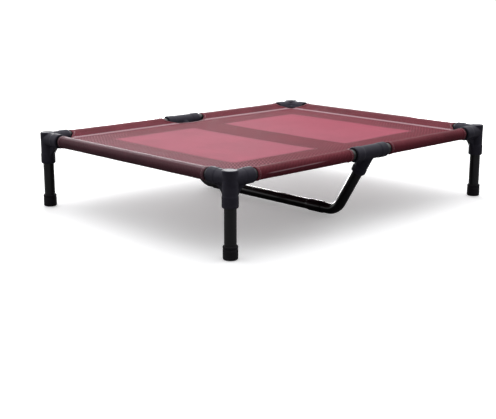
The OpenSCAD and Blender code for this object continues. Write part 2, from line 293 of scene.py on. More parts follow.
def mesh_cloth(name, light, dark, window=None, gloss=0.44, dots=0.25, highlight_and_wear=None, shine=0.10, coat=0.0, top_highlight=(9.0, 12.0, 0.14)):
    """Coated mesh. light and dark are the coating's colours. window is the colour of the single layer between the
    seams, painted paler to stand in for the light that comes through it (painted light), while the double-layer border
    keeps the darker colours as painted shade. highlight_and_wear is the pale colour of painted highlights along hems,
    creases and rail tops, and of rubbing wear on the creases; top_highlight gives the heights and strength of the pale
    top band.
    """
    k = Mat(name, Specular_IOR_Level=shine, Coat_Weight=coat, Coat_Roughness=0.13)
    c, flat, x, y, h, hole, tint = weave(k)
    broad = k.noise(flat, 0.011, 3.0, 0.55, 0.4)
    small = k.noise(flat, 0.12, 3.0, 0.6)
    base = k.mix(k.step(k.math("ADD", k.math("MULTIPLY", broad, 0.7), k.math("MULTIPLY", small, 0.3)), 0.36, 0.64), dark, light)
    drift = k.step(k.noise(flat, 0.009, 2.0, 0.5), 0.34, 0.62, 0.35, 1.0)
    # strongest round one corner, where the two layers lie closest
    ox, oy, oz = k.xyz(k.coords())
    ox, oy = k.math("ADD", ox, 0.27), k.math("ADD", oy, HY * MM)
    far = k.math("SQRT", k.math("ADD", k.math("MULTIPLY", ox, ox), k.math("MULTIPLY", k.math("MULTIPLY", oy, oy), 5.0)))
    drift = k.math("ADD", k.math("MULTIPLY", drift, 0.55), k.step(far, 0.05, 0.36, 0.75, 0.0))
    amount = k.math("MULTIPLY", drift, dots)
    mask = None
    if window:
        px, py, _ = k.xyz(k.coords())
        wx = k.math("MULTIPLY", k.step(k.math("ABSOLUTE", px), (BAND_X - 4) * MM, (BAND_X + 7) * MM),
                    k.step(k.math("ABSOLUTE", px), (-BORDER_IN - 9) * MM, (-BORDER_IN + 5) * MM, 1.0, 0.0))
        mask = k.math("MULTIPLY", wx, k.step(k.math("ABSOLUTE", py), (BORDER_Y - 8) * MM, (BORDER_Y + 5) * MM, 1.0, 0.0))
        # painted shade: towards the front rail the border turns darker and redder
        base = k.mix(k.step(py, -0.24, -0.13, 0.85, 0.0), base, (light[0] * 0.75, light[1] * 0.60, light[2] * 0.63))
        # painted sheen: towards the left end the border turns paler and greyer
        base = k.mix(k.step(px, -0.31, -0.17, 0.55, 0.0), base, (light[0] * 0.98, light[1] * 1.70, light[2] * 1.55))
        soft = k.mix(k.step(broad, 0.34, 0.66), tuple(v * 0.90 for v in window), window)
        # painted sheen: the window is palest on the left and turns deeper red towards the right, where less sheen is
        # painted
        soft = k.mix(k.step(px, -0.05, 0.30, 0.0, 0.55), soft, (window[0] * 0.98, window[1] * 0.70, window[2] * 0.76))
        # painted light: inside the window mask the single layer takes the paler colour window, standing in for light
        # through it; the border keeps the darker colours as painted shade of the second layer beneath
        base = k.mix(mask, base, soft)
        amount = k.math("MULTIPLY", amount, k.math("SUBTRACT", 1.0, mask))
    beat = k.math("ADD", 1.0, k.math("MULTIPLY", moire(k, x, y, broad), amount))
    # painted shade: the weave's valleys darker than the yarns' crowns, times each yarn's own tint and the moire
    shade = k.math("ADD", 0.78, k.math("MULTIPLY", h, 0.30))
    shade = k.math("MULTIPLY", shade, k.math("ADD", 0.93, k.math("MULTIPLY", tint, 0.14)))
    shade = k.math("MULTIPLY", shade, beat)
    base = k.mix(1.0, base, k.join(shade, shade, shade), "MULTIPLY")
    # painted shade: the weave's holes are filled with near black, standing in for the dark seen through them, less in
    # the single-layer window
    hole_shade = k.math("MULTIPLY", hole, 0.80 if window is None else 0.62)
    base = k.mix(hole_shade, base, tuple(v * 0.10 for v in dark))
    if highlight_and_wear:
        # painted highlight: where the attribute 'cloth' marks the hem tongue, the sleeve mouths and the creases, the
        # cloth takes the pale colour highlight_and_wear; on the creases this is rubbing wear as well
        _, _, bead = k.xyz(c)
        base = k.mix(k.math("MULTIPLY", k.step(bead, 0.02, 0.55), 0.92), base, highlight_and_wear)
        px, py, pz = k.xyz(k.coords())
        # painted highlight: a pale band along the top of each sleeve, between the heights given by top_highlight,
        # broken up by noise and left off the front rails
        top = k.math("MULTIPLY", k.step(pz, (RAIL_Z + top_highlight[0]) * MM, (RAIL_Z + top_highlight[1]) * MM), k.step(small, 0.30, 0.62, 0.78, 1.0))
        top = k.math("MULTIPLY", top, k.step(py, -0.27, -0.20, 0.0, top_highlight[2]))
        base = k.mix(top, base, highlight_and_wear)
    k.set("Base Color", base)
    k.set("Roughness", k.math("ADD", gloss, k.math("MULTIPLY", k.math("ADD", k.math("SUBTRACT", 1.0, h), broad), 0.14)))
    k.set("Normal", k.bump(h, 0.40, 0.00022, k.bump(broad, 0.10, 0.004)))
    return k.m


def tape():
    """Narrow woven binding: fine ribs across its width."""
    k = Mat("woven_binding", Specular_IOR_Level=0.4, Sheen_Weight=0.3, Sheen_Roughness=0.5)
    c = k.attribute("cloth")
    x, y, _ = k.xyz(c)
    rib = k.math("ABSOLUTE", k.math("SINE", k.math("MULTIPLY", x, math.pi / 0.9)))
    pick = k.math("ABSOLUTE", k.math("SINE", k.math("MULTIPLY", y, math.pi / 0.55)))
    h = k.math("ADD", k.math("MULTIPLY", rib, 0.75), k.math("MULTIPLY", pick, 0.25))
    n = k.noise(c, 0.25, 3.0, 0.6)
    base = k.mix(n, (0.235, 0.085, 0.105), (0.345, 0.145, 0.170))
    # painted shade: the tape is darker between its ribs than on them
    s = k.math("ADD", 0.70, k.math("MULTIPLY", h, 0.38))
    k.set("Base Color", k.mix(1.0, base, k.join(s, s, s), "MULTIPLY"))
    k.set("Roughness", k.math("ADD", 0.52, k.math("MULTIPLY", n, 0.2)))
    k.set("Normal", k.bump(h, 0.6, 0.00025))
    return k.m


def thread():
    """Twisted polyester thread."""
    k = Mat("seam_thread", Specular_IOR_Level=0.5, Sheen_Weight=0.35, Sheen_Roughness=0.4)
    c = k.attribute("cloth")
    x, y, _ = k.xyz(c)
    twist = k.math("SINE", k.math("MULTIPLY", k.math("ADD", x, k.math("MULTIPLY", y, 0.8)), 2 * math.pi / 0.5))
    n = k.noise(c, 0.6, 2.0, 0.5)
    # painted shade: the thread is darker in the grooves of its twist and paler on its crests
    base = k.mix(k.step(twist, -0.6, 0.8), (0.20, 0.065, 0.085), (0.36, 0.150, 0.180))
    k.set("Base Color", k.mix(k.math("MULTIPLY", n, 0.3), base, (0.44, 0.24, 0.26)))
    k.set("Roughness", k.math("ADD", 0.42, k.math("MULTIPLY", n, 0.15)))
    k.set("Normal", k.bump(twist, 0.5, 0.0001))
    return k.m


M_PLASTIC, M_STEEL, M_RUBBER = plastic(), steel(), rubber()
M_TOP = mesh_cloth("coated_mesh_top", (0.224, 0.056, 0.074), (0.184, 0.045, 0.060), window=(0.412, 0.114, 0.158), dots=0.46, shine=0.012)
# the sleeve cloth is the top's fabric painted darker: partly the black tube seen through its holes, partly painted
# shade on sides that face down and away from the light
M_SLEEVE = mesh_cloth("coated_mesh_sleeve", (0.186, 0.029, 0.044), (0.138, 0.021, 0.032), dots=0.10, gloss=0.40, highlight_and_wear=(0.54, 0.33, 0.37), shine=0.03, coat=0.09)
# painted shade and highlight: a darker, greyer copy of the sleeve cloth for the left end's sleeve only, with a stronger
# coat and a wider, brighter pale band along its top
M_SLEEVE_LEFT_SHADED = mesh_cloth("coated_mesh_sleeve_rubbed", (0.112, 0.034, 0.048), (0.084, 0.026, 0.037), dots=0.10, gloss=0.38, highlight_and_wear=(0.51, 0.35, 0.39), shine=0.06, coat=0.15, top_highlight=(8.6, 10.6, 0.22))
M_UNDER = mesh_cloth("coated_mesh_under", (0.180, 0.040, 0.056), (0.140, 0.030, 0.044), dots=0.18, shine=0.012)
M_TAPE, M_THREAD = tape(), thread()


# ---------------------------------------------------------------- mesh helpers
def piece(name, verts, faces, mat, replaces=(), cloth=None, smooth=True, sharp=None):
    """A new mesh from points in millimetres, riding on the frame."""
    me = bpy.data.meshes.new(name)
    verts = np.asarray(verts, float)
    me.from_pydata([tuple(v) for v in verts * MM], [], [tuple(int(i) for i in f) for f in faces])
    me.validate(verbose=False)
    me.materials.append(mat)
    if cloth is not None:
        at = me.attributes.new("cloth", "FLOAT_VECTOR", "POINT")
        co = np.zeros((len(verts), 3), np.float32)
        co[:, : np.asarray(cloth).shape[1]] = cloth
        at.data.foreach_set("vector", co.ravel())
    if smooth:
        me.shade_smooth()
        if sharp:
            me.set_sharp_from_angle(angle=math.radians(sharp))
    o = bpy.data.objects.new(name, me)
    bpy.context.scene.collection.objects.link(o)
    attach(o, "root")
    if replaces:
        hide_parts(*replaces)
    return o


def grid_faces(rows, cols, wrap_rows=False, wrap_cols=False, base=0, flip=False):
    out = []
    for i in range(rows if wrap_rows else rows - 1):
        for j in range(cols if wrap_cols else cols - 1):
            i2, j2 = (i + 1) % rows, (j + 1) % cols
            q = (base + i * cols + j, base + i * cols + j2, base + i2 * cols + j2, base + i2 * cols + j)
            out.append(q[::-1] if flip else q)
    return out


def lathe(profile, n=72):
    """Closed loop of (r, z), anticlockwise with r to the right, turned about Z. Points on the axis share one vertex."""
    verts, rings = [], []
    for r, z in profile:
        if r < 1e-6:
            rings.append([len(verts)])
            verts.append((0.0, 0.0, z))
        else:
            rings.append(list(range(len(verts), len(verts) + n)))
            verts += [(r * math.cos(2 * math.pi * i / n), r * math.sin(2 * math.pi * i / n), z) for i in range(n)]
    faces = []
    for k in range(len(rings)):
        a, b = rings[k], rings[(k + 1) % len(rings)]
        if len(a) == 1 and len(b) == 1:
            continue
        for i in range(n):
            j = (i + 1) % n
            if len(a) == 1:
                faces.append((a[0], b[j], b[i]))
            elif len(b) == 1:
                faces.append((a[i], a[j], b[0]))
            else:
                faces.append((a[i], a[j], b[j], b[i]))
    return np.array(verts, float), faces


def arc(cx, cy, r, a0, a1, n):
    return [(cx + r * math.cos(math.radians(a0 + (a1 - a0) * i / n)), cy + r * math.sin(math.radians(a0 + (a1 - a0) * i / n))) for i in range(n + 1)]


def smoothstep(t):
    t = np.clip(t, 0, 1)
    return t * t * (3 - 2 * t)


def dz(x, y):
    """How far the stretched sheet hangs below its seams: a shallow dish with a few slow ripples, nothing at its edges."""
    x, y = np.asarray(x, float), np.asarray(y, float)
    ex = np.clip((SEAM_X - np.abs(x)) / SEAM_X, 0, 1)
    ey = np.clip((SEAM_Y - np.abs(y)) / SEAM_Y, 0, 1)
    dish = (1 - (1 - ex) ** 2.4) * (1 - (1 - ey) ** 2.4)
    edge = smoothstep((SEAM_X - np.abs(x)) / 60) * smoothstep((SEAM_Y - np.abs(y)) / 60)
    for s in (-1, 1):
        edge = edge * smoothstep((np.hypot(x, y - s * NOTCH_C) - NOTCH_R - 8) / 60)
    ripple = 0.34 * np.sin(x / 41 + 0.6) * np.sin(y / 63 + 1.1) + 0.26 * np.sin((x + 1.3 * y) / 58 + 2.0) + 0.2 * np.sin((x - 1.7 * y) / 37)
    return edge * (-3.0 * dish + 0.7 * ripple)


def inside(pts, poly):
    """Which points lie inside a closed polygon."""
    x, y = pts[:, 0], pts[:, 1]
    hit = np.zeros(len(pts), bool)
    for (x0, y0), (x1, y1) in zip(poly, np.roll(poly, -1, 0)):
        cross = (y0 > y) != (y1 > y)
        hit ^= cross & (x < (x1 - x0) * (y - y0) / (y1 - y0 + 1e-12) + x0)
    return hit


def edge_distance(pts, poly):
    best = np.full(len(pts), 1e9)
    for a, b in zip(poly, np.roll(poly, -1, 0)):
        d = b - a
        t = np.clip(((pts - a) @ d) / (d @ d + 1e-12), 0, 1)
        best = np.minimum(best, np.hypot(*(pts - a - t[:, None] * d).T))
    return best


def spaced(poly, step):
    out = []
    for a, b in zip(poly, np.roll(poly, -1, 0)):
        n = max(1, int(round(np.hypot(*(b - a)) / step)))
        out += [a + (b - a) * i / n for i in range(n)]
    return np.array(out)


def polygon_area(poly):
    x, y = poly[:, 0], poly[:, 1]
    return abs((x * np.roll(y, -1) - y * np.roll(x, -1)).sum()) / 2


def sheet_plate(name, poly, z_top, t, mat, replaces, step=7.0):
    """A sheet of thickness t with the outline poly, whose top follows z_top + dz."""
    poly = np.array(poly, float)
    rim = spaced(poly, step)
    lo, hi = rim.min(0), rim.max(0)
    gx = np.linspace(lo[0], hi[0], max(2, int((hi[0] - lo[0]) / step)) + 1)
    gy = np.linspace(lo[1], hi[1], max(2, int((hi[1] - lo[1]) / step)) + 1)
    g = np.array([(x, y) for x in gx for y in gy])
    g = g[inside(g, poly)]
    g = g[edge_distance(g, poly) > step * 0.45]
    pts = [Vector(p) for p in rim] + [Vector(p) for p in g]
    n = len(rim)
    co, _, tri, _, _, _ = geometry.delaunay_2d_cdt(pts, [(i, (i + 1) % n) for i in range(n)], [], 1, 1e-6)
    co = np.array([tuple(c) for c in co])
    tri = [tuple(f) for f in tri]
    # the rim's edges belong to one triangle each
    count = {}
    for f in tri:
        for a, b in zip(f, f[1:] + f[:1]):
            count[(a, b)] = True
    border = [(a, b) for (a, b) in count if (b, a) not in count]
    z = z_top + dz(co[:, 0], co[:, 1])
    m = len(co)
    verts = np.vstack([np.column_stack([co, z]), np.column_stack([co, z - t])])
    faces = tri + [tuple(i + m for i in f[::-1]) for f in tri] + [(b, a, a + m, b + m) for a, b in border]
    o = piece(name, verts, faces, mat, replaces, cloth=np.vstack([co, co]), sharp=50)
    return o, polygon_area(poly) * 1e-6


# ---------------------------------------------------------------- stitches
class Stitches:
    """Short lock stitches gathered into one mesh."""

    def __init__(self, name):
        self.name, self.v, self.f, self.c = name, [], [], []

    def one(self, p, d, n, length, r):
        """A stitch centred at p, along d, standing on a surface of normal n."""
        s = np.cross(d, n)
        base = len(self.v)
        rings = ((-0.50, -0.55, 0.35), (-0.36, 0.10, 0.92), (0.0, 0.42, 1.0), (0.36, 0.10, 0.92), (0.50, -0.55, 0.35))
        for t, h, k in rings:
            c = p + d * (t * length) + n * (h * r)
            for i in range(6):
                a = math.pi / 3 * i
                self.v.append(c + (s * math.cos(a) * 1.15 + n * math.sin(a)) * r * k)
                self.c.append((t * length + base * 0.37, a * r))
        self.f += grid_faces(5, 6, wrap_cols=True, base=base, flip=True)
        self.f.append(tuple(base + i for i in range(6)))
        self.f.append(tuple(base + 24 + i for i in range(5, -1, -1)))

    def row(self, pts, normals, pitch=4.6, r=0.36, fill=0.74, skip=1.5):
        """Stitches along a line of points, with the surface's normal at each."""
        pts, normals = np.asarray(pts, float), np.asarray(normals, float)
        seg = np.linalg.norm(np.diff(pts, axis=0), axis=1)
        run = np.concatenate([[0], np.cumsum(seg)])
        total = run[-1] - 2 * skip
        n = max(1, int(total / pitch))
        gap = total / n
        for i in range(n):
            s0 = skip + (i + 0.5) * gap
            def at(s, a=pts):
                return np.array([np.interp(s, run, a[:, k]) for k in range(3)])
            p, d = at(s0), at(s0 + gap * 0.3) - at(s0 - gap * 0.3)
            nn = at(s0, normals)
            d /= np.linalg.norm(d) + 1e-9
            nn = nn - d * (nn @ d)
            nn /= np.linalg.norm(nn) + 1e-9
            wig = 0.10 * math.sin(i * 12.9898 + len(self.v))
            self.one(p + np.cross(nn, d) * wig, d, nn, gap * fill, r)

    def make(self):
        return piece(self.name, self.v, self.f, M_THREAD, cloth=np.array(self.c))


# ---------------------------------------------------------------- moulded connectors
def axis_snap(co, origin, axis, spans):
    """Pulls points that lie nearly on a cylinder about this axis onto it. spans: (radius, from, to along the axis)."""
    d = np.array(axis, float)
    d /= np.linalg.norm(d)
    rel = co - origin
    along = rel @ d
    radial = rel - along[:, None] * d
    r = np.linalg.norm(radial, axis=1)
    for radius, a, b in spans:
        off = np.abs(r - radius)
        w = smoothstep((0.62 - off) / 0.4) * smoothstep((along - a) / 1.0) * smoothstep((b - along) / 1.0)
        co = co + radial / np.maximum(r, 1e-9)[:, None] * ((radius - r) * w)[:, None]
    return co


def moulding(node, origin, arms, voxel):
    """The CAD moulding with soft edges: remeshed, relaxed, and its sockets and bores trued up again."""
    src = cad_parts[node]
    me = src.data.copy()
    o = bpy.data.objects.new("tmp_" + node, me)
    bpy.context.scene.collection.objects.link(o)
    w = o.modifiers.new("weld", "WELD")
    w.merge_threshold = 2e-6
    r = o.modifiers.new("remesh", "REMESH")
    r.mode, r.voxel_size, r.adaptivity = "VOXEL", voxel * MM, 0.0
    s = o.modifiers.new("relax", "SMOOTH")
    s.factor, s.iterations = 0.5, 7
    dg = bpy.context.evaluated_depsgraph_get()
    e = o.evaluated_get(dg)
    out = e.to_mesh()
    co = np.zeros(len(out.vertices) * 3)
    out.vertices.foreach_get("co", co)
    co = co.reshape(-1, 3) * 1000
    faces = [tuple(p.vertices) for p in out.polygons]
    e.to_mesh_clear()
    bpy.data.objects.remove(o)
    for axis, spans in arms:
        co = axis_snap(co, np.array(origin, float), axis, spans)
    return co, faces


def corner_mouldings():
    org = (-HX, -HY, RAIL_Z)
    level = [(COLLAR_R, ARM_REACH - 19.5, ARM_REACH - 1.8), (SOCKET_R, 16, ARM_REACH - 22.5), (BORE_R, 19, ARM_REACH - 1.5)]
    down = [(COLLAR_R, LEG_REACH - 19.5, LEG_REACH - 1.8), (SOCKET_R, 0, LEG_REACH - 22.5), (BORE_R, 17, LEG_REACH - 1.5)]
    co, faces = moulding("corner_connector_front_left", org,
                         [((1, 0, 0), level), ((0, 1, 0), level), ((0, 0, -1), down), ((0, 0, 1), [(SOCKET_R + 0.3, 2, 13.4)])],
                         0.8)
    for corner, (sx, sy) in CORNERS.items():
        c = co.copy()
        f = faces
        if sx > 0:
            c[:, 0] *= -1
        if sy > 0:
            c[:, 1] *= -1
        if sx * sy < 0:
            f = [q[::-1] for q in faces]
        piece(f"corner_connector_{corner}_moulding", c, f, M_PLASTIC, [f"corner_connector_{corner}"])


def centre_mouldings():
    org = (0, -HY, RAIL_Z)
    barrel = [(COLLAR_R, BARREL - 19.5, BARREL - 1.8), (SOCKET_R, 0, BARREL - 22.5), (BORE_R, 10, BARREL - 1.5)]
    drop = (0, math.cos(DROP_A), -math.sin(DROP_A))
    sock = [(COLLAR_R, 50 - 10.5, 50 - 1.8), (SOCKET_R, 18, 50 - 13.2), (BORE_R, 15, 50 - 1.5)]
    co, faces = moulding("centre_connector_front", org, [((1, 0, 0), barrel), ((-1, 0, 0), barrel), (drop, sock)],
                         0.8)
    for side, s in (("front", -1), ("rear", 1)):
        c, f = co.copy(), faces
        if s > 0:
            c[:, 1] *= -1
            f = [q[::-1] for q in faces]
        piece(f"centre_connector_{side}_moulding", c, f, M_PLASTIC, [f"centre_connector_{side}"])


# ---------------------------------------------------------------- tubes
def tube_profile(ro, ri, z0, z1):
    c = 0.28
    return [(ri, z0 + c), (ri + c, z0), (ro - c, z0), (ro, z0 + c), (ro, z0 + 1.5), (ro, (z0 + z1) / 2), (ro, z1 - 1.5), (ro, z1 - c),
            (ro - c, z1), (ri + c, z1), (ri, z1 - c), (ri, (z0 + z1) / 2)]


def legs():
    v, f = lathe(tube_profile(TUBE_R, TUBE_R - WALL, LEG_Z0, LEG_Z1), 72)
    for corner, (sx, sy) in CORNERS.items():
        piece(f"leg_tube_{corner}_steel", v + np.array([sx * HX, sy * HY, 0]), f, M_STEEL, [f"leg_tube_{corner}"], sharp=40)


def feet():
    R, e, t = FOOT_R, 3.2, TUBE_R + 0.03
    prof = [(0, 0.9), (2.4, 0.9), (2.8, 0.55), (3.3, 0.5), (3.7, 0.85), (4.2, 0.9), (6.6, 0.9), (7.3, 0.15), (7.7, 0.0), (R - e, 0.0)]
    prof += arc(R - e, e, e, -75, 0, 6)
    prof += [(R, 9.0), (R, 14.5), (R, FOOT_H - 6.9), (R - 0.15, FOOT_H - 6.55), (R - 0.75, FOOT_H - 6.1), (R - 0.85, FOOT_H - 5.6), (R - 0.75, FOOT_H - 5.1),
             (R - 0.15, FOOT_H - 4.65), (R, FOOT_H - 4.3), (R, FOOT_H - 1.3), (R - 0.25, FOOT_H - 0.45), (R - 0.85, FOOT_H),
             (t + 0.5, FOOT_H), (t + 0.1, FOOT_H - 0.2), (t, FOOT_H - 0.8), (t, LEG_Z0 + 1), (t, LEG_Z0 - 0.05), (0, LEG_Z0 - 0.05)]
    v, f = lathe(prof, 80)
    for corner, (sx, sy) in CORNERS.items():
        piece(f"foot_cap_{corner}_rubber", v + np.array([sx * HX, sy * HY, 0]), f, M_RUBBER, [f"foot_cap_{corner}"], sharp=50)


def crossbar():
    n, ro, ri = 56, TUBE_R, TUBE_R - WALL
    top = (-HY + 16 * math.cos(DROP_A), RAIL_Z - 16 * math.sin(DROP_A))
    bend0 = (-BEND_Y + BEND_CUT * -math.cos(DROP_A), BAR_Z + BEND_CUT * math.sin(DROP_A))
    line = [(top[0] + (bend0[0] - top[0]) * i / 8, top[1] + (bend0[1] - top[1]) * i / 8, DROP_A) for i in range(8)]
    line += [(-BEND_Y + BEND_CUT - BEND_R * math.sin(a), BAR_Z + BEND_R - BEND_R * math.cos(a), a) for a in [DROP_A * (1 - i / 20) for i in range(21)]]
    end = -BELL_Y + BELL_L - 6
    last = line[-1][0]
    line += [(last + (end - last) * i / 5, BAR_Z, 0.0) for i in range(1, 6)]
    verts = []
    for r in (ro, ri):
        for k, (y, z, a) in enumerate(line):
            # a bent tube flattens a little on the outside of its bend
            flat = 0.25 * smoothstep(1 - abs((a / DROP_A) - 0.5) * 2) if 9 <= k <= 27 else 0.0
            for i in range(n):
                t = 2 * math.pi * i / n
                c, w = (r - flat) * math.cos(t), (r + flat * 0.4) * math.sin(t)
                verts.append((w, y + c * math.sin(a), z + c * math.cos(a)))
    m = len(line)
    faces = grid_faces(m, n, wrap_cols=True) + grid_faces(m, n, wrap_cols=True, base=m * n, flip=True)
    for i in range(n):
        j = (i + 1) % n
        faces.append((i, m * n + i, m * n + j, j))
        a, b = (m - 1) * n + i, (m - 1) * n + j
        faces.append((a, b, m * n + b, m * n + a))
    verts = np.array(verts)
    flipped = [q[::-1] for q in faces]
    piece("crossbar_end_front_steel", verts, flipped, M_STEEL, ["crossbar_end_front"], sharp=45)
    rear = verts * np.array([1, -1, 1])
    piece("crossbar_end_rear_steel", rear, faces, M_STEEL, ["crossbar_end_rear"], sharp=45)

    R, b, c = BELL_R, BELL_Y, BELL_Y - BELL_L
    half = [(R, c + 4.5), (R, c + 10), (R, b - 8), (R, b - 0.7), (R - 0.12, b - 0.3), (R - 0.4, b)]
    neck = [(ro, 0.0), (ro, c - 6), (ro, c - 3.2), (ro + 0.1, c - 2.0), (ro + 0.42, c - 0.2), (R - 0.42, c + 1.8), (R - 0.1, c + 3.4)]
    inner = [(BORE_R, b), (BORE_R, c + 5), (BORE_R - 0.2, c + 3.5), (ri + 0.2, c + 0.6), (ri, c - 0.6)]
    outline = neck + half + inner
    full = outline + [(r, -z) for r, z in outline[::-1] if z > 1e-9]
    v, f = lathe([(r, z) for r, z in full], 72)
    v = np.column_stack([v[:, 0], v[:, 2], BAR_Z - v[:, 1]])
    piece("crossbar_centre_tube_steel", v, f, M_STEEL, ["crossbar_centre_tube"], sharp=45)


def rails():
    for n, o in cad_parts.items():
        if n.startswith(("end_rail", "side_rail")):
            for s in o.material_slots:
                s.material = M_STEEL


# ---------------------------------------------------------------- mesh panel and its under layer
def notch_arc(g, side, y_edge):
    """Points of the curved cut-out's edge, offset by g into the sheet, from -x to +x where it meets |y| = y_edge."""
    r = NOTCH_R + g
    half = math.asin(math.sqrt(max(0, r * r - (NOTCH_C - y_edge) ** 2)) / r)
    return [(r * math.sin(t), side * (NOTCH_C - r * math.cos(t))) for t in np.linspace(-half, half, 25)]


def sheet_outline(g):
    k = CUT + g * math.sqrt(2)
    cx, cy = HX - (k - SEAM_IN), HY - (k - SEAM_IN)
    front = [(-SEAM_X, -cy), (-cx, -SEAM_Y)] + notch_arc(g, -1, SEAM_Y) + [(cx, -SEAM_Y), (SEAM_X, -cy)]
    return front + [(-x, -y) for x, y in front]


def sheets():
    made = {}
    panel, area = sheet_plate("mesh_panel_cloth", sheet_outline(1.0), RAIL_Z + CLOTH_T, CLOTH_T, M_TOP, ["mesh_panel"])
    made["panel"] = panel
    k = CUT + math.sqrt(2)
    cx, cy = HX - (k - SEAM_IN), HY - (k - SEAM_IN)
    for side, s in (("front", -1), ("rear", 1)):
        poly = [(-SEAM_X, s * BORDER_Y), (-SEAM_X, s * cy), (-cx, s * SEAM_Y)] + notch_arc(1.0, s, SEAM_Y)
        poly += [(cx, s * SEAM_Y), (SEAM_X, s * cy), (SEAM_X, s * BORDER_Y)]
        poly = poly if s < 0 else poly[::-1]
        o, area = sheet_plate(f"under_strip_{side}_cloth", poly, RAIL_Z - 0.03, CLOTH_T, M_UNDER, [f"under_strip_{side}"])
        made[side] = o
    for side, s in (("left", -1), ("right", 1)):
        xs = sorted((s * SEAM_X, s * -BORDER_IN))
        yb = BORDER_Y - 0.4
        poly = [(xs[0], -yb), (xs[1], -yb), (xs[1], yb), (xs[0], yb)]
        o, area = sheet_plate(f"under_strip_{side}_cloth", poly, RAIL_Z - 0.03, CLOTH_T, M_UNDER, [f"under_strip_{side}"])
        made[side] = o
    yb = BORDER_Y - 0.4
    o, area = sheet_plate("under_band_centre_cloth", [(-BAND_X, -yb), (BAND_X, -yb), (BAND_X, yb), (-BAND_X, yb)],
                          RAIL_Z - 0.03, CLOTH_T, M_UNDER, ["under_band_centre"])
    made["band"] = o
    # one row of stitches round each window, through both layers
    st = Stitches("window_seam_thread")
    for s in (-1, 1):
        x0, x1, yy = BAND_X - 4, -BORDER_IN + 4, BORDER_Y + 4
        rect = np.array([(x0, -yy), (x1, -yy), (x1, yy), (x0, yy), (x0, -yy)]) * [s, 1]
        for a, b in zip(rect, rect[1:]):
            q = a + (b - a) * np.linspace(0, 1, 60)[:, None]
            z = RAIL_Z + CLOTH_T + dz(q[:, 0], q[:, 1])
            up = np.tile([0.0, 0.0, 1.0], (len(q), 1))
            st.row(np.column_stack([q, z]), up, pitch=4.8, r=0.30)
            st.row(np.column_stack([q, z - 2 * CLOTH_T - 0.03]), -up, pitch=4.8, r=0.30)
    made["window_thread"] = st.make()
    return made


# ---------------------------------------------------------------- sleeves
TONGUE = 8.5
HEM = 7.0


def sleeve_path():
    """The sleeve's middle surface in section: (u inwards, v up), with outward normals, from the lower hem round the tube to the upper hem."""
    r, lift = TUBE_R + 0.15 + CLOTH_T / 2, CLOTH_T / 2 + 0.95
    d = math.hypot(SEAM_IN, lift)
    a = math.atan2(lift, SEAM_IN) + math.acos(r / d)
    top = [(r * math.cos(t), r * math.sin(t)) for t in np.linspace(math.pi, a, 36)]
    tx, ty = top[-1]
    slope = [(tx + (SEAM_IN - tx) * f, ty + (lift - ty) * f) for f in (0.12, 0.26, 0.4, 0.54, 0.68, 0.8, 0.9)]
    # the slope eases into the flat hem
    ease = [(SEAM_IN + 0.3 - 1.4, lift + 0.72), (SEAM_IN - 0.1, lift + 0.30), (SEAM_IN + 1.0, lift + 0.06)]
    flat = [(SEAM_IN + 2.2, lift), (SEAM_IN + 4.2, lift), (SEAM_IN + 6.4, lift), (SEAM_IN + TONGUE - 0.5, lift - 0.02), (SEAM_IN + TONGUE, lift - 0.14)]
    upper = np.array(top + slope + ease + flat)
    lower = upper[1:][::-1] * [1, -1]
    p = np.vstack([lower, upper])
    t = np.gradient(p, axis=0)
    t /= np.linalg.norm(t, axis=1)[:, None]
    n = np.column_stack([-t[:, 1], t[:, 0]])        # left of the way round: outwards, since the way runs clockwise round the outside
    dev = np.concatenate([[0], np.cumsum(np.linalg.norm(np.diff(p, axis=0), axis=1))])
    return p, n, dev


PATH, PATH_N, PATH_DEV = sleeve_path()
if (PATH[len(PATH) // 2] + PATH_N[len(PATH) // 2])[0] > PATH[len(PATH) // 2][0]:
    PATH_N = -PATH_N


def corner_stop(u):
    """How far along its rail a sleeve starts from the leg axis, at a distance u in from the rail."""
    u = np.asarray(u, float)
    s = np.where(u > SLEEVE_W, SLEEVE_STOP - (u - SLEEVE_W), SLEEVE_STOP)
    return np.where(u > SEAM_IN + 0.2, CUT + TAPE_W * math.sqrt(2) + 1.2 - u, s)


def notch_stop(u):
    """How far from the bed's middle a side sleeve stops, at a distance u in from the rail."""
    u = np.asarray(u, float)
    y = HY - u
    inner = np.sqrt(np.maximum(0, NOTCH_R ** 2 - (NOTCH_C - y) ** 2))
    outer = np.sqrt(np.maximum(0, (NOTCH_R + TAPE_W + 1.0) ** 2 - (NOTCH_C - y) ** 2))
    s = np.where(u > SLEEVE_W, np.minimum(inner, SLEEVE_MID), SLEEVE_MID)
    return np.where(u > SEAM_IN + 0.2, outer, s)


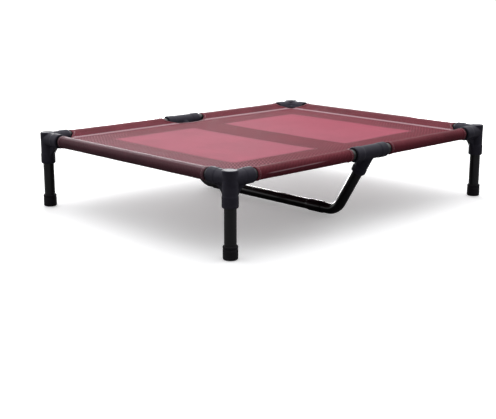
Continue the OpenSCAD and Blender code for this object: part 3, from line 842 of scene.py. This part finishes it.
def sleeve(name, node, place, half, start, stop, seed, crease=None, hem_highlight=1.0):
    """place maps (s, u, v) to the frame. start(u) and stop(u) are where it begins and ends along the rail."""
    u, v = PATH[:, 0], PATH[:, 1]
    a, b = start(u), stop(u)
    heads = [0.0, 0.35, 1.2, 3.4, 5.6, 6.7, 7.3, 8.2, 10.5, 14.0]
    mid = int((half - 28) / 5.0)
    rows = [("a", t) for t in heads] + [("m", (i + 1) / (mid + 1)) for i in range(mid)] + [("b", t) for t in heads[::-1]]
    out_pts, in_pts, cl = [], [], []
    on_tube = smoothstep((13.0 - np.hypot(u, v)) / 2.0)
    flat = smoothstep((u - SEAM_IN + 2) / 3)
    ang = np.degrees(np.arctan2(v, u)) % 360
    for kind, t in rows:
        if kind == "a":
            s, e = a + t, t
        elif kind == "b":
            s, e = b - t, t
        else:
            s, e = (a + 14) + (b - a - 28) * t, 99
        e = np.full(len(u), float(e))
        hem = 0.62 * smoothstep((HEM - e + 0.3) / 0.6) + (-0.5 * smoothstep((0.5 - e) / 0.5))
        bead = np.exp(-(((u - SEAM_IN - 2.6) / 2.3) ** 2))
        hem = hem * (1 - smoothstep((u - SEAM_IN) / 2)) + 0.95 * bead - 0.42 * smoothstep((u - SEAM_IN - TONGUE + 1.6) / 1.6)
        wr = np.array([noise.noise(Vector((si / 38 + seed, di / 16, seed * 1.7))) for si, di in zip(s, PATH_DEV)])
        fine = np.array([noise.noise(Vector((si / 11 + seed, di / 9 + 3, seed * 0.7))) for si, di in zip(s, PATH_DEV)])
        pull = np.array([noise.noise(Vector(((si + di * 0.9) / 9 + seed, di / 40, 5.0 + seed))) for si, di in zip(s, PATH_DEV)])
        near = np.exp(-np.minimum(np.abs(s - a), np.abs(b - s)) / 26)
        w = (1 - flat) * (0.42 * wr * (1 - on_tube) + 0.16 * (wr + 0.45) * on_tube + 0.10 * fine * (1 - on_tube) + 0.05 * (fine + 0.5) * on_tube
                          + 0.30 * pull * near * (1 - on_tube))
        worn = 0.0
        if crease:
            ca, c0, c1, amp = crease
            m = smoothstep((s - c0) / 30) * smoothstep((c1 - s) / 60)
            ridge = m * np.exp(-(((ang - ca - 4 * np.sin(s / 60)) / 5.5) ** 2))
            # the crease is a real ridge; worn marks it for the pale highlight colour, a painted highlight along the
            # fold as well as rubbing wear
            w, worn = w + amp * ridge, 0.42 * ridge
        outer = PATH + PATH_N * (CLOTH_T / 2 + hem + w)[:, None]
        inner = PATH + PATH_N * (-CLOTH_T / 2 * (1 - 0.5 * smoothstep((0.5 - e) / 0.5)) + np.maximum(w, -0.1) * (1 - on_tube))[:, None]
        out_pts.append(np.column_stack([s, outer]))
        in_pts.append(np.column_stack([s, inner]))
        # painted highlight: the flat hem tongue, scaled by hem_highlight, a little at each mouth, and the crease all go
        # into the attribute for the pale highlight colour
        mouth = 0.10 * smoothstep((HEM - e + 0.3) / 0.6)
        highlight_wear_mask = np.maximum(np.maximum(smoothstep((u - SEAM_IN - 0.2) / 1.2) * hem_highlight, mouth), worn)
        cl.append(np.column_stack([s, PATH_DEV, highlight_wear_mask]))
    nr, nc = len(rows), len(u)
    pts = np.vstack(out_pts + in_pts)
    cl = np.vstack(cl + cl)
    m = nr * nc
    faces = grid_faces(nr, nc) + grid_faces(nr, nc, base=m, flip=True)
    for i in range(nr - 1):
        a0, a1 = i * nc, (i + 1) * nc
        faces.append((a0, a1, m + a1, m + a0))
        b0, b1 = a0 + nc - 1, a1 + nc - 1
        faces.append((b1, b0, m + b0, m + b1))
    for j in range(nc - 1):
        faces.append((j + 1, j, m + j, m + j + 1))
        k = (nr - 1) * nc + j
        faces.append((k, k + 1, m + k + 1, m + k))
    world = place(pts)
    # turn the faces outwards whichever way place() mirrors
    f = faces[len(faces) // 5]
    nrm = np.cross(world[f[1]] - world[f[0]], world[f[2]] - world[f[0]])
    i0 = f[0]
    probe = world[i0] - world[m + i0] if i0 < m else world[i0 - m] - world[i0]
    if nrm @ probe < 0:
        faces = [q[::-1] for q in faces]
    # the left end's sleeve alone takes the darker painted-shade copy of the cloth
    o = piece(name, world, faces, M_SLEEVE_LEFT_SHADED if name.startswith("sleeve_end_left") else M_SLEEVE, [node], cloth=cl, sharp=48)

    # stitches: two rows on the flat hem, above and below, and one round each mouth
    st = Stitches(name.replace("_cloth", "_thread"))
    for uu, up in ((SEAM_IN + 2.6, 0.95), (SEAM_IN + 6.4, 0.08)):
        s0, s1 = float(start(uu)) + 1.5, float(stop(uu)) - 1.5
        line = np.linspace(s0, s1, 80)
        for sgn in (1, -1):
            vv = np.full(80, sgn * (CLOTH_T + 0.95 + up))
            p = place(np.column_stack([line, np.full(80, uu), vv]))
            st.row(p, np.tile([0.0, 0.0, float(sgn)], (80, 1)), pitch=4.6, r=0.34)
    for edge, sg in ((start, 1), (stop, -1)):
        keep = (u < SEAM_IN - 2.5)
        s = edge(u[keep]) + sg * 4.6
        q = PATH[keep] + PATH_N[keep] * (CLOTH_T / 2 + 0.62 + 0.1)
        p = place(np.column_stack([s, q]))
        nn = place(np.column_stack([s, q + PATH_N[keep]])) - p
        st.row(p, nn, pitch=4.2, r=0.34)
    t = st.make()
    return o


def sleeves():
    seed = 1.0
    for corner, (sx, sy) in CORNERS.items():
        def place(p, sx=sx, sy=sy):
            # s runs from the corner (-HX) towards the middle
            return np.column_stack([-sx * p[:, 0], sy * (HY - p[:, 1]), RAIL_Z + p[:, 2]])
        start = lambda u: -(HX - corner_stop(u))
        stop = lambda u: -notch_stop(u)
        crease = (177, -300, -110, 0.50) if corner == "front_left" else ((205, -250, -150, 0.3) if corner == "rear_right" else None)
        # the painted hem highlight is weaker along the front rails (0.20) than on the other sleeves (0.75)
        sleeve(f"sleeve_{corner}_cloth", f"sleeve_{corner}", place, HX - SLEEVE_STOP - SLEEVE_MID, start, stop, seed, crease, 0.20 if sy < 0 else 0.75)
        seed += 3.7
    for side, s in (("left", -1), ("right", 1)):
        def place(p, s=s):
            return np.column_stack([s * (HX - p[:, 1]), p[:, 0], RAIL_Z + p[:, 2]])
        start = lambda u: -(HY - corner_stop(u))
        stop = lambda u: HY - corner_stop(u)
        sleeve(f"sleeve_end_{side}_cloth", f"sleeve_end_{side}", place, 2 * (HY - SLEEVE_STOP), start, stop, seed, None, 0.75)
        seed += 3.7


# ---------------------------------------------------------------- bindings
def binding_section():
    """Folded tape in section: (n in from the edge, z from the sheet's middle), a C open towards the sheet."""
    o, i, w = 1.82, 0.98, TAPE_W + 0.6
    c = (o - i) * 0.5
    pts = [(w, i), (w, o - 0.25), (w - 0.3, o), (4.6, o + 0.06), (2.6, o + 0.05), (1.0, o - 0.05)]
    pts += [(0.45, o - 0.32), (0.08, o - 0.95), (0.0, 0.0), (0.08, -(o - 0.95)), (0.45, -(o - 0.32))]
    pts += [(1.0, -(o - 0.05)), (2.6, -(o + 0.05)), (4.6, -(o + 0.06)), (w - 0.3, -o), (w, -o + 0.25), (w, -i)]
    pts += [(4.0, -i), (2.0, -i), (1.0, -i + 0.1), (0.82, 0.0), (1.0, i - 0.1), (2.0, i), (4.0, i)]
    return np.array(pts)


def binding(name, node, path, inward, shear):
    """path: points along the cut edge; inward: the unit normals into the sheet; shear: how much the two ends slant."""
    sec = binding_section()
    path, inward = np.asarray(path, float), np.asarray(inward, float)
    t = np.gradient(path, axis=0)
    t /= np.linalg.norm(t, axis=1)[:, None]
    m = len(path)
    run = np.concatenate([[0], np.cumsum(np.linalg.norm(np.diff(path, axis=0), axis=1))])
    dev = np.concatenate([[0], np.cumsum(np.linalg.norm(np.diff(sec, axis=0), axis=1))])
    verts, cl = [], []
    for k in range(m):
        f = k / (m - 1)
        for (n, z), dv in zip(sec, dev):
            sh = (shear[0] * (1 - f) + shear[1] * f) * n
            wob = 0.12 * noise.noise(Vector((run[k] / 9, dv / 5, path[0][0])))
            p = path[k] + inward[k] * (n + 0.4 * wob) + t[k] * sh
            zz = z * (1 + 0.10 * (wob if abs(z) > 1.2 else 0))
            verts.append((p[0], p[1], RAIL_Z + zz + float(dz(p[0], p[1]))))
            cl.append((run[k], dv))
    n = len(sec)
    faces = grid_faces(m, n, wrap_cols=True)
    cap = list(range(n))
    faces.append(tuple(cap[::-1]))
    faces.append(tuple((m - 1) * n + i for i in cap))
    verts = np.array(verts)
    # outward test on the top face of the tape
    f = faces[(m // 2) * n + 3]
    nrm = np.cross(verts[f[1]] - verts[f[0]], verts[f[2]] - verts[f[0]])
    if nrm[2] < 0:
        faces = [q[::-1] for q in faces]
    o = piece(name, verts, faces, M_TAPE, [node], cloth=np.array(cl), sharp=50)
    st = Stitches(name.replace("_tape", "_thread"))
    q = path + inward * 4.7
    z = RAIL_Z + 1.90 + dz(q[:, 0], q[:, 1])
    up = np.tile([0.0, 0.0, 1.0], (m, 1))
    st.row(np.column_stack([q, z]), up, pitch=3.8, r=0.30, skip=2.5)
    st.row(np.column_stack([q, z - 3.8]), -up, pitch=3.8, r=0.30, skip=2.5)
    th = st.make()


def bindings():
    for corner, (sx, sy) in CORNERS.items():
        a, b = CUT - SEAM_IN, SEAM_IN
        p0, p1 = np.array([a, b + 0.3]), np.array([b + 0.3, a])
        pts = np.array([p0 + (p1 - p0) * f for f in np.linspace(0, 1, 10)])
        inn = np.tile(np.array([1, 1]) / math.sqrt(2), (10, 1))
        # leg-axis distances to frame coordinates
        world = np.column_stack([sx * (HX - pts[:, 0]), sy * (HY - pts[:, 1])])
        iw = np.column_stack([-sx * inn[:, 0], -sy * inn[:, 1]])
        binding(f"corner_binding_{corner}_tape", f"corner_binding_{corner}", world, iw, (-1.0, 1.0))
    for side, s in (("front", -1), ("rear", 1)):
        pts = np.array(notch_arc(0.0, s, SEAM_Y - 0.3))
        c = np.array([0.0, s * NOTCH_C])
        inn = pts - c
        inn /= np.linalg.norm(inn, axis=1)[:, None]
        binding(f"centre_binding_{side}_tape", f"centre_binding_{side}", pts, inn, (-0.75, 0.75))


# ---------------------------------------------------------------- build
rails()
corner_mouldings()
centre_mouldings()
legs()
feet()
crossbar()
sheets()
sleeves()
bindings()


# ---------------------------------------------------------------- stage, light, camera
def stage():
    me = bpy.data.meshes.new("studio_floor")
    s = 14.0
    me.from_pydata([(-s, -s, -0.0001), (s, -s, -0.0001), (s, s, -0.0001), (-s, s, -0.0001)], [], [(0, 1, 2, 3)])
    k = Mat("floor_paper", Specular_IOR_Level=0.15, Roughness=0.85)
    n = k.noise(k.coords(), 2.5, 2.0, 0.5)
    paper = k.mix(n, (0.93, 0.93, 0.935), (0.95, 0.95, 0.955))
    ray = k.t.nodes.new("ShaderNodeLightPath").outputs["Is Camera Ray"]
    k.set("Base Color", k.mix(ray, (0.17, 0.17, 0.175), paper))
    k.b.inputs["Emission Color"].default_value = (1, 1, 1, 1)
    k.set("Emission Strength", k.math("MULTIPLY", ray, 0.30))
    # seen from underneath, the floor lets the view through
    geo = k.t.nodes.new("ShaderNodeNewGeometry")
    clear = k.t.nodes.new("ShaderNodeBsdfTransparent")
    pick = k.t.nodes.new("ShaderNodeMixShader")
    k.put(pick.inputs[0], geo.outputs["Backfacing"])
    k.put(pick.inputs[1], k.b.outputs[0])
    k.put(pick.inputs[2], clear.outputs[0])
    k.put(k.out.inputs[0], pick.outputs[0])
    me.materials.append(k.m)
    floor = bpy.data.objects.new("studio_floor", me)
    bpy.context.scene.collection.objects.link(floor)
    floor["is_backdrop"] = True

    w = bpy.data.worlds.new("studio")
    bpy.context.scene.world = w
    w.use_nodes = True
    t = w.node_tree
    t.nodes.clear()
    out = t.nodes.new("ShaderNodeOutputWorld")
    cam_bg, env_bg = t.nodes.new("ShaderNodeBackground"), t.nodes.new("ShaderNodeBackground")
    cam_bg.inputs[0].default_value = (1, 1, 1, 1)
    cam_bg.inputs[1].default_value = 1.0
    mix = t.nodes.new("ShaderNodeMixShader")
    lp = t.nodes.new("ShaderNodeLightPath")
    tc = t.nodes.new("ShaderNodeTexCoord")
    dot = t.nodes.new("ShaderNodeVectorMath")
    dot.operation = "DOT_PRODUCT"
    dot.inputs[1].default_value = Vector((0.40, 0.55, 0.73)).normalized()
    rng = t.nodes.new("ShaderNodeMapRange")
    rng.interpolation_type = "SMOOTHSTEP"
    for key, v in (("From Min", -0.32), ("From Max", 0.74), ("To Min", WORLD_DARK), ("To Max", WORLD_BRIGHT)):
        rng.inputs[key].default_value = v
    t.links.new(tc.outputs["Generated"], dot.inputs[0])
    t.links.new(dot.outputs["Value"], rng.inputs["Value"])
    t.links.new(rng.outputs[0], env_bg.inputs[1])
    env_bg.inputs[0].default_value = (0.985, 0.99, 1.0, 1)
    t.links.new(lp.outputs["Is Camera Ray"], mix.inputs[0])
    t.links.new(env_bg.outputs[0], mix.inputs[1])
    t.links.new(cam_bg.outputs[0], mix.inputs[2])
    t.links.new(mix.outputs[0], out.inputs[0])

    def area(name, loc, size, energy, aim=(0, 0, 0.1), colour=(1, 1, 1)):
        d = bpy.data.lights.new(name, "AREA")
        d.shape, d.size, d.size_y, d.energy, d.color = "RECTANGLE", size[0], size[1], energy, colour
        o = bpy.data.objects.new(name, d)
        bpy.context.scene.collection.objects.link(o)
        o.location = loc
        o.rotation_euler = (Vector(aim) - Vector(loc)).to_track_quat("-Z", "Y").to_euler()
        return o

    area("overhead_softbox", (0.25, 0.35, 2.1), (2.4, 2.4), 20.0)
    area("front_fill", (-0.4, -2.6, 1.3), (1.6, 1.0), 2.0)
    strip = area("low_back_strip", (0.86, 0.90, 0.07), (1.9, 0.11), 9.0, aim=(0, 0, 0.05))
    strip.visible_camera = False
    # a low panel behind, whose reflection is a thin light line along the top of every rail
    area("low_back_panel", (1.55, 2.95, 0.98), (2.2, 0.55), 26.0).visible_camera = False

    sc = bpy.context.scene
    sc.view_settings.view_transform = "Standard"
    sc.view_settings.look = "None"
    cam = bpy.data.cameras.new("camera")
    co = bpy.data.objects.new("camera", cam)
    sc.collection.objects.link(co)
    cam.sensor_width, cam.lens = 36.0, 47.36 * ZOOM
    cam.clip_start, cam.clip_end = 0.05, 60
    co.location = (-1.5066, -1.5177, 0.494)
    co.rotation_euler = (math.radians(76.46), 0.0, math.radians(-43.72))
    sc.camera = co


ZOOM = 1.55
WORLD_DARK, WORLD_BRIGHT = 0.05, 1.15
stage()

bpy.context.view_layer.update()
lo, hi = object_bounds()
